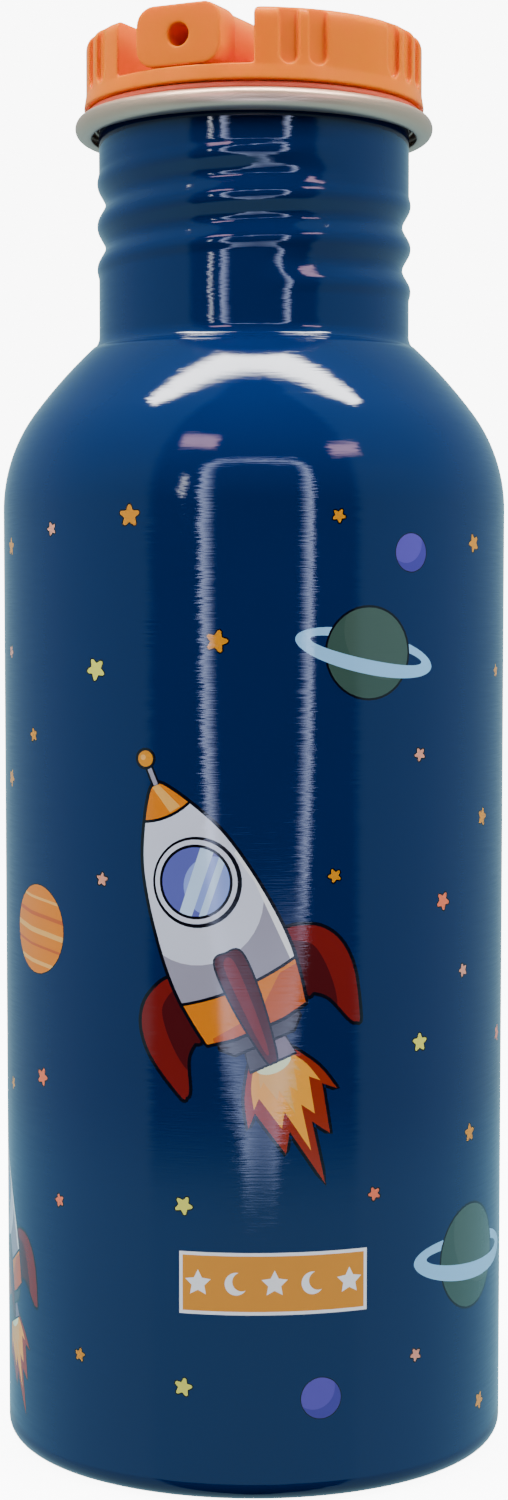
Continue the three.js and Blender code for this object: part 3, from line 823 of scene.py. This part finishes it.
def lid_mesh(material):
    """The cap turned as a blank, then cut out, then rounded."""
    blank_profile = [(0.001, LID_BOTTOM), (LID_SKIRT, LID_BOTTOM), (LID_RADIUS, LID_BOTTOM + 2)]
    blank_profile += arc(LID_RADIUS - LID_EDGE, LID_TOP - LID_EDGE, LID_EDGE, 0, math.pi / 2, 8)
    blank_profile += [(0.001, LID_TOP)]
    lid = new_piece("lid", *spin(blank_profile, columns=240), material)
    inner = LID_RADIUS - LID_WALL - FLUTE_BACKING
    hollow_profile = [(0.001, LID_BOTTOM - 1), (inner, LID_BOTTOM - 1), (inner, LID_TOP - LID_WALL)]
    hollow_profile += [(0.001, LID_TOP - LID_WALL)]
    hollow = new_piece("hollow", *spin(hollow_profile, columns=120), material)
    carved(hollow, [prism(recess_outline(LID_WALL), LID_BOTTOM - 2, LID_TOP)])
    bpy.context.collection.objects.unlink(hollow)
    cutters = [
        hollow,
        prism(recess_outline(0), RECESS_FLOOR, LID_TOP + 2),
        rod(STUD_HOLE, (-STUD_HOLE_REACH, HINGE_Y, HINGE_Z), (STUD_HOLE_REACH, HINGE_Y, HINGE_Z)),
        rod(SEAL_SEAT, (0, HINGE_Y, RECESS_FLOOR - SEAT_DEPTH), (0, HINGE_Y, RECESS_FLOOR + 1)),
        rod(PORT_RADIUS, (0, HINGE_Y, LID_BOTTOM - 1), (0, HINGE_Y, LID_TOP)),
        rod(VENT_HOLE, (0, VENT_Y, LID_BOTTOM - 1), (0, VENT_Y, LID_TOP)),
    ]
    carved(lid, cutters + [flute(degrees) for degrees in FLUTES])
    return moulded(lid, FINE)


def plastic_finish(name, colour, deep):
    """Bright polypropylene that light enters a little way, with the faint ripple of a moulded skin."""
    material, tree, shader = principled(
        name, Subsurface_Weight=0.3, Subsurface_Scale=0.005, IOR=1.49, Specular_IOR_Level=0.1,
    )
    shader.inputs["Subsurface Radius"].default_value = (1.0, 0.25, 0.02)
    marks = add_group(tree, round_streaks, Streaks_per_metre=500.0, Round_per_metre=500.0)
    tree.links.new(two_tones(tree, marks.outputs["Clouds"], deep, colour), shader.inputs["Base Color"])
    tree.links.new(ranged(tree, marks.outputs["Clouds"], 0.28, 0.4), shader.inputs["Roughness"])
    bumped(tree, shader, marks.outputs["Streaks"], 0.08, 0.0001)
    return material


orange_plastic = plastic_finish("orange_plastic", (0.86, 0.18, 0.0), (0.8, 0.16, 0.0))
lid = lid_mesh(orange_plastic)
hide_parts("lid_shell")
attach(lid, "lid")

# ---------------------------------------------------------------- plug
# A cup moulded in the same orange plastic, with the thread round it that screws into the neck. It is
# fixed under the lid, and a nozzle under its plate takes the straw's sleeve.

PLUG = dict(bottom=160.8, radius=19.9, bore=17.9, top=186.6, plate=1.8)
COLLAR = dict(start=177, bottom=179, radius=20.5, edge=0.3)
PLUG_RIDGE = dict(start_angle=-1.12, start_height=166.1, turns=1.25, depth=1.0, half_width=1.3, swell=0.0)
NOZZLE_RADIUS, NOZZLE_BOTTOM = 2.6, 178.0
VALVE_HOLE, AIR_HOLE, AIR_HOLE_X = 1.2, 0.5, 2.2
under_plate = PLUG["top"] - PLUG["plate"]


def plug_mesh(material):
    """The cup turned with its thread, with the nozzle added and the port and the valve's holes drilled."""
    inner = softened([(0.001, under_plate), (PLUG["bore"], under_plate), (PLUG["bore"], PLUG["bottom"]),
                      (PLUG["radius"], PLUG["bottom"])], 0.4)[4:-4]
    outer = rows(PLUG["radius"], PLUG["bottom"] + 0.5, COLLAR["start"], 0.25)
    collar = [
        (COLLAR["radius"], COLLAR["bottom"]), (COLLAR["radius"], PLUG["top"] - COLLAR["edge"]),
        (COLLAR["radius"] - COLLAR["edge"], PLUG["top"]),
    ]
    profile = [(0.001, under_plate)] + inner + outer + collar + [(0.001, PLUG["top"])]
    points, faces = spin(profile, columns=144)
    points = pressed(points, PLUG_RIDGE, from_radius=PLUG["radius"] - 0.01)
    plug = new_piece("threaded_plug", points, faces, material)
    nozzle = rod(NOZZLE_RADIUS, (0, HINGE_Y, NOZZLE_BOTTOM), (0, HINGE_Y, under_plate + 0.5))
    carved(plug, [nozzle], "UNION")
    below, above = under_plate - 1, PLUG["top"] + 1
    cutters = [
        rod(PORT_RADIUS, (0, HINGE_Y, NOZZLE_BOTTOM - 1), (0, HINGE_Y, above)),
        rod(VALVE_HOLE, (0, VENT_Y, below), (0, VENT_Y, above)),
    ]
    for x in (-AIR_HOLE_X, AIR_HOLE_X):
        cutters.append(rod(AIR_HOLE, (x, VENT_Y, below), (x, VENT_Y, above), 16))
    carved(plug, cutters)
    plug.data.shade_smooth()
    return plug


plug = plug_mesh(orange_plastic)
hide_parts("lid_plug")
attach(plug, "lid")

# ---------------------------------------------------------------- spout
# A spout moulded in the same orange plastic, hub and hinge studs in one. The studs snap into the lid's
# cheeks. Its bore meets the port when it stands up, and the hub shuts the port when it is folded.

TIP_Y, TIP_WIDTH, TIP_LENGTH, TIP_CORNER = -23.2, 12.6, 5.0, 2.6
BAR_WIDTH, DRINK_BORE, STUD_RADIUS, STUD_REACH = 11.0, 1.55, 1.5, 8.8
SPOUT_FINE = 0.15


def rounded_bar(width, height, corner, from_y, to_y):
    """A bar along Y with rounded corners, centred on the hinge's height."""
    quarter = math.pi / 2
    x, z = width / 2 - corner, height / 2 - corner
    outline = [
        *arc(x, -z, corner, -quarter, 0, 8), *arc(x, z, corner, 0, quarter, 8),
        *arc(-x, z, corner, quarter, 2 * quarter, 8), *arc(-x, -z, corner, 2 * quarter, 3 * quarter, 8),
    ]
    place = Matrix.Translation((0, from_y * MM, HINGE_Z * MM)) @ Matrix.Rotation(quarter, 4, "X")
    return prism(outline, 0, from_y - to_y, place)


def spout_mesh(material):
    """A bar, its wider tip, its hub and its studs joined, then bored and rounded."""
    height = 2 * HUB_RADIUS
    spout = rounded_bar(BAR_WIDTH, height, TIP_CORNER, HINGE_Y, TIP_Y + 1)
    spout.name = "spout"
    bpy.context.collection.objects.link(spout)
    spout.data.materials.append(material)
    half = HUB_WIDTH / 2
    carved(spout, [
        rounded_bar(TIP_WIDTH, height, TIP_CORNER, TIP_Y + TIP_LENGTH, TIP_Y),
        rod(HUB_RADIUS, (-half, HINGE_Y, HINGE_Z), (half, HINGE_Y, HINGE_Z), 64),
        rod(STUD_RADIUS, (-STUD_REACH, HINGE_Y, HINGE_Z), (STUD_REACH, HINGE_Y, HINGE_Z)),
    ], "UNION")
    carved(spout, [rod(DRINK_BORE, (0, HINGE_Y + 10, HINGE_Z), (0, TIP_Y - 1, HINGE_Z))])
    return moulded(spout, SPOUT_FINE)


spout = spout_mesh(orange_plastic)
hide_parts("spout")
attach(spout, "spout")

# ---------------------------------------------------------------- seal, sleeve, straw and vent
# Four small parts out of sight inside the lid and the bottle. The seal, the sleeve and the umbrella
# valve are moulded in milky silicone and pushed into place, and the straw is a frosted tube.

milky_silicone = silicone_finish("milky_silicone", rgb(222, 219, 210), 0.5)
frosted_straw = silicone_finish("frosted_straw", rgb(232, 238, 240), 0.35)
SMALL_PARTS = [
    ("port_seal", "spout_seal", HINGE_Y, milky_silicone, "clear_silicone",
     [(1.9, 187.7), (3.3, 187.7), (3.3, 188.8), (1.9, 188.8)]),
    ("sleeve", "straw_sleeve", HINGE_Y, milky_silicone, "clear_silicone",
     [(2.9, 177.0), (3.75, 177.0), (3.75, 170.0), (5.0, 170.0), (5.0, 184.5), (2.9, 184.5)]),
    ("drinking_straw", "straw", HINGE_Y, frosted_straw, "straw_plastic",
     [(2.7, 7.0), (3.5, 7.0), (3.5, 176.5), (2.7, 176.5)]),
    ("umbrella_valve", "vent_valve", VENT_Y, milky_silicone, "clear_silicone",
     [(0.001, 183.5), (1.5, 183.5), (3.4, 184.5), (0.9, 184.5), (0.9, 186.4), (0.001, 186.4)]),
]
for name, node, y, material, slot_name, profile in SMALL_PARTS:
    piece = new_piece(name, *spin(softened(profile, 0.2), columns=64), material, y)
    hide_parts(node)
    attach(piece, "lid")

# ---------------------------------------------------------------- studio
# A pale floor, a white surround and a camera a little below the lid, 26 degrees round from the spout.
# The light tent is dark on the camera's side, which gives the paint its deep middle band. Glowing
# sheets stand for the window and the lit table that the gloss mirrors.

VIEW_TURN = PRINT_SIDE + math.pi / 2
CAMERA_DISTANCE, CAMERA_HEIGHT = 375.8, 114.3
CAMERA_LENS, CAMERA_DIP = 63.5, 2.62


def toward_camera(distance, height, sideways=0.0):
    """A point at a distance from the bottle's axis, on the camera's side of it."""
    forward = Vector((math.cos(PRINT_SIDE), math.sin(PRINT_SIDE), 0))
    right = Vector((-forward.y, forward.x, 0))
    point = forward * distance + right * sideways
    return Vector((point.x, point.y, height)) * MM


camera = bpy.data.objects.new("camera", bpy.data.cameras.new("camera"))
camera.data.lens = CAMERA_LENS
camera.data.sensor_width = 36
camera.data.clip_start = 0.01
camera.location = toward_camera(CAMERA_DISTANCE, CAMERA_HEIGHT)
camera.rotation_euler = (math.radians(90 - CAMERA_DIP), 0, VIEW_TURN)
bpy.context.collection.objects.link(camera)
bpy.context.scene.camera = camera


def glowing(name, colour, strength):
    """A material that only gives light."""
    material = bpy.data.materials.new(name)
    material.use_nodes = True
    tree = material.node_tree
    tree.nodes.clear()
    glow = tree.nodes.new("ShaderNodeEmission")
    glow.inputs["Color"].default_value = (*colour, 1)
    glow.inputs["Strength"].default_value = strength
    tree.links.new(glow.outputs[0], tree.nodes.new("ShaderNodeOutputMaterial").inputs[0])
    return material


def studio_plane(name, width, height, place, look_at, material, camera_sees=True):
    """A flat rectangle that faces a point."""
    mesh = bpy.data.meshes.new(name)
    x, y = width / 2 * MM, height / 2 * MM
    mesh.from_pydata([(-x, -y, 0), (x, -y, 0), (x, y, 0), (-x, y, 0)], [], [(0, 1, 2, 3)])
    mesh.materials.append(material)
    plane = bpy.data.objects.new(name, mesh)
    bpy.context.collection.objects.link(plane)
    plane.location = place
    plane.rotation_euler = (Vector(look_at) - Vector(place)).to_track_quat("Z", "Y").to_euler()
    plane.visible_camera = camera_sees
    return plane


def lamp(name, width, height, place, turn, power, mirrored=True):
    """A soft light. One that isn't mirrored lights the bottle without showing in its gloss."""
    light = bpy.data.lights.new(name, "AREA")
    light.shape = "RECTANGLE"
    light.size, light.size_y = width * MM, height * MM
    light.energy = power
    holder = bpy.data.objects.new(name, light)
    holder.location = place
    holder.rotation_euler = turn
    holder.visible_glossy = mirrored
    holder.visible_camera = False
    bpy.context.collection.objects.link(holder)


def ramp(tree, value, stops):
    """A smooth grey ramp over 0 to 1, from (place, brightness) stops."""
    node = tree.nodes.new("ShaderNodeFloatCurve")
    curve = node.mapping.curves[0]
    curve.points[0].location, curve.points[1].location = stops[0], stops[-1]
    for place, brightness in stops[1:-1]:
        curve.points.new(place, brightness)
    for point in curve.points:
        point.handle_type = "VECTOR"
    node.mapping.use_clip = False
    node.mapping.update()
    tree.links.new(value, node.inputs["Value"])
    return node.outputs["Value"]


TENT_COLOUR, TENT_GLOW, DARK_SIDE_GLOW = (0.54, 0.94, 1.1, 1), 0.57, 0.01


def light_tent():
    """A tent of soft bluish light: dark on the camera's side, and a little brighter low down."""
    world = bpy.data.worlds.new("light_tent")
    world.use_nodes = True
    tree = world.node_tree
    where = tree.nodes.new("ShaderNodeTexCoord")
    turned = tree.nodes.new("ShaderNodeVectorRotate")
    turned.rotation_type = "Z_AXIS"
    turned.inputs["Angle"].default_value = -PRINT_SIDE
    tree.links.new(where.outputs["Generated"], turned.inputs["Vector"])
    parts = tree.nodes.new("ShaderNodeSeparateXYZ")
    tree.links.new(turned.outputs[0], parts.inputs[0])
    round_turn = maths(tree, "ARCTAN2", parts.outputs["Y"], parts.outputs["X"])
    from_camera = maths(tree, "DIVIDE", maths(tree, "ABSOLUTE", round_turn), math.pi)
    level_turn = maths(tree, "DIVIDE", maths(tree, "ARCSINE", parts.outputs["Z"]), math.pi)
    height = maths(tree, "ADD", level_turn, 0.5)
    at_side = ramp(tree, from_camera, [(0, 0.0), (0.25, 0.0), (0.275, 0.9), (0.6, 1.0), (1, 1.1)])
    level = ramp(tree, height, [(0, 1.5), (0.45, 1.1), (0.6, 1.0), (0.68, 0.9), (0.95, 0.9), (1, 0.5)])
    glow = maths(tree, "MULTIPLY", maths(tree, "MULTIPLY", at_side, level), TENT_GLOW)
    glow = maths(tree, "ADD", glow, DARK_SIDE_GLOW)
    background = tree.nodes["Background"]
    background.inputs["Color"].default_value = TENT_COLOUR
    tree.links.new(glow, background.inputs["Strength"])
    return world


bpy.context.scene.world = light_tent()


def only_seen_directly(thing):
    """The white surround is for the eye; the bottle is lit and mirrored by the tent instead."""
    thing.visible_diffuse = thing.visible_glossy = thing.visible_transmission = False
    thing.visible_shadow = False


FLOOR_SIZE, FLOOR_GLOW, SURROUND_RADIUS, SURROUND_GLOW = 12000, 8.5, 8000, 9
floor_paint = principled("floor_paint", Roughness=0.9, Emission_Strength=FLOOR_GLOW)
floor_paint[2].inputs["Base Color"].default_value = (0.93, 0.93, 0.93, 1)
floor_paint[2].inputs["Emission Color"].default_value = (1, 1, 1, 1)
only_seen_directly(studio_plane("floor", FLOOR_SIZE, FLOOR_SIZE, (0, 0, 0), (0, 0, 1), floor_paint[0]))

dome_mesh = bpy.data.meshes.new("white_surround")
dome_shape = bmesh.new()
bmesh.ops.create_icosphere(dome_shape, subdivisions=3, radius=SURROUND_RADIUS * MM)
dome_shape.to_mesh(dome_mesh)
dome_shape.free()
dome_mesh.materials.append(glowing("white_surround", (1, 1, 1), SURROUND_GLOW))
dome = bpy.data.objects.new("white_surround", dome_mesh)
bpy.context.collection.objects.link(dome)
only_seen_directly(dome)


def shell(name, points, columns, material):
    """A grid of points as a glowing sheet that the bottle mirrors and the camera doesn't see."""
    mesh = bpy.data.meshes.new(name)
    starts = [i for i in range(len(points) - columns) if (i + 1) % columns]
    quads = [(i, i + 1, i + 1 + columns, i + columns) for i in starts]
    mesh.from_pydata([tuple(p) for p in points], [], quads)
    mesh.materials.append(material)
    sheet = bpy.data.objects.new(name, mesh)
    sheet.visible_camera = sheet.visible_diffuse = sheet.visible_shadow = False
    bpy.context.collection.objects.link(sheet)
    return mesh


def by_brightness(name, colour, strength):
    """A glow that fades to clear as the sheet's own brightness does."""
    material = glowing(name, colour, strength)
    tree = material.node_tree
    brightness = tree.nodes.new("ShaderNodeAttribute")
    brightness.attribute_name = "brightness"
    blend = tree.nodes.new("ShaderNodeMixShader")
    tree.links.new(brightness.outputs["Fac"], blend.inputs["Fac"])
    tree.links.new(tree.nodes.new("ShaderNodeBsdfTransparent").outputs[0], blend.inputs[1])
    tree.links.new(tree.nodes["Emission"].outputs[0], blend.inputs[2])
    tree.links.new(blend.outputs[0], tree.nodes["Material Output"].inputs[0])
    return material


def set_brightness(mesh, values):
    """Gives a sheet its brightness, corner by corner."""
    mesh.attributes.new("brightness", "FLOAT", "POINT").data.foreach_set("value", values)


def window_outline(left, right, top, corner):
    """A tall window, narrower at its foot, from its left foot over the top to its right foot."""
    quarter = math.pi / 2
    return [
        (-left * 0.76, 0), (-left * 0.92, 60), (-left, 150),
        *arc(corner - left, top - corner, corner, 2 * quarter, quarter, 10),
        *arc(right - corner, top - corner, corner, quarter, 0, 10),
        (right, 150), (right * 0.97, 60), (right * 0.86, 0),
    ]


# The window: a dim middle, which the dark side of the tent gives, inside a bright edge.
WINDOW_AWAY, WINDOW_GLOW = 700, 14
window_rings = [
    window_outline(306, 338, 522, 120), window_outline(300, 332, 516, 114),
    window_outline(276, 310, 502, 98), window_outline(222, 262, 486, 70),
]
window_points = [toward_camera(WINDOW_AWAY, up, across) for ring in window_rings for across, up in ring]
window_light = by_brightness("window_edge", (0.6, 0.68, 1), WINDOW_GLOW)
window = shell("window_edge", window_points, len(window_rings[0]), window_light)
set_brightness(window, np.repeat([0.2, 1.0, 0.62, 0.0], len(window_rings[0])))

# The window's light on the table: a patch that narrows toward the bottle, brighter along its two sides.
# Each row is its distance from the bottle, its left side, its right side and its brightness.
PATCH_GLOW, PATCH_LIFT = 9, 0.5
PATCH = [
    (232, -14, 38, 0.0), (250, -16, 42, 0.8), (300, -34, 62, 1.0),
    (403, -106, 136, 0.75), (700, -236, 292, 0.3),
]
across_patch = [(0.0, 0.0), (0.07, 1.0), (0.25, 0.6), (0.5, 0.4), (0.75, 0.5), (0.93, 0.8), (1.0, 0.0)]
patch_points = [
    toward_camera(away, PATCH_LIFT, left + (right - left) * t)
    for away, left, right, _ in PATCH for t, _ in across_patch
]
patch_light = by_brightness("table_patch", (0.55, 0.66, 1), PATCH_GLOW)
patch = shell("table_patch", patch_points, len(across_patch), patch_light)
set_brightness(patch, [row[3] * level for row in PATCH for _, level in across_patch])

# The table close round the bottle, lit by the room. Each ring is its radius and its brightness.
TABLE_GLOW, TABLE_LIFT = 0.84, 0.2
RINGS = [(40, 0.9), (215, 0.9), (255, 0.5), (310, 0.0)]
table_turns = np.linspace(0, 2 * math.pi, 65)
table_points = [
    Vector((r * math.cos(a), r * math.sin(a), TABLE_LIFT)) * MM for r, _ in RINGS for a in table_turns
]
table_light = by_brightness("near_table", (0.45, 0.92, 1.15), TABLE_GLOW)
near_table = shell("near_table", table_points, len(table_turns), table_light)
set_brightness(near_table, np.repeat([b for _, b in RINGS], len(table_turns)))

# Two pink lamps high in front, a strip light on the left, a softbox overhead and one at each side.
for side in (-1, 1):
    studio_plane(
        f"pink_lamp_{side}", 190, 110, toward_camera(500, 620, 118 + side * 390), (0, 0, 0.14),
        glowing(f"pink_lamp_{side}", (1, 0.6, 0.75), 9), camera_sees=False,
    )
studio_plane(
    "strip_light", 26, 190, toward_camera(700, 300, -424), toward_camera(0, 300, -424),
    glowing("strip_light", (0.9, 0.93, 1), 16), camera_sees=False,
)
lamp("overhead_softbox", 1000, 112, toward_camera(28, 950), (0, 0, VIEW_TURN), 15)
for side in (-1, 1):
    place = toward_camera(380, 560, side * 620)
    aim = (Vector((0, 0, 0.1)) - place).to_track_quat("-Z", "Y").to_euler()
    lamp(f"side_softbox_{side}", 500, 500, place, aim, 9, mirrored=False)
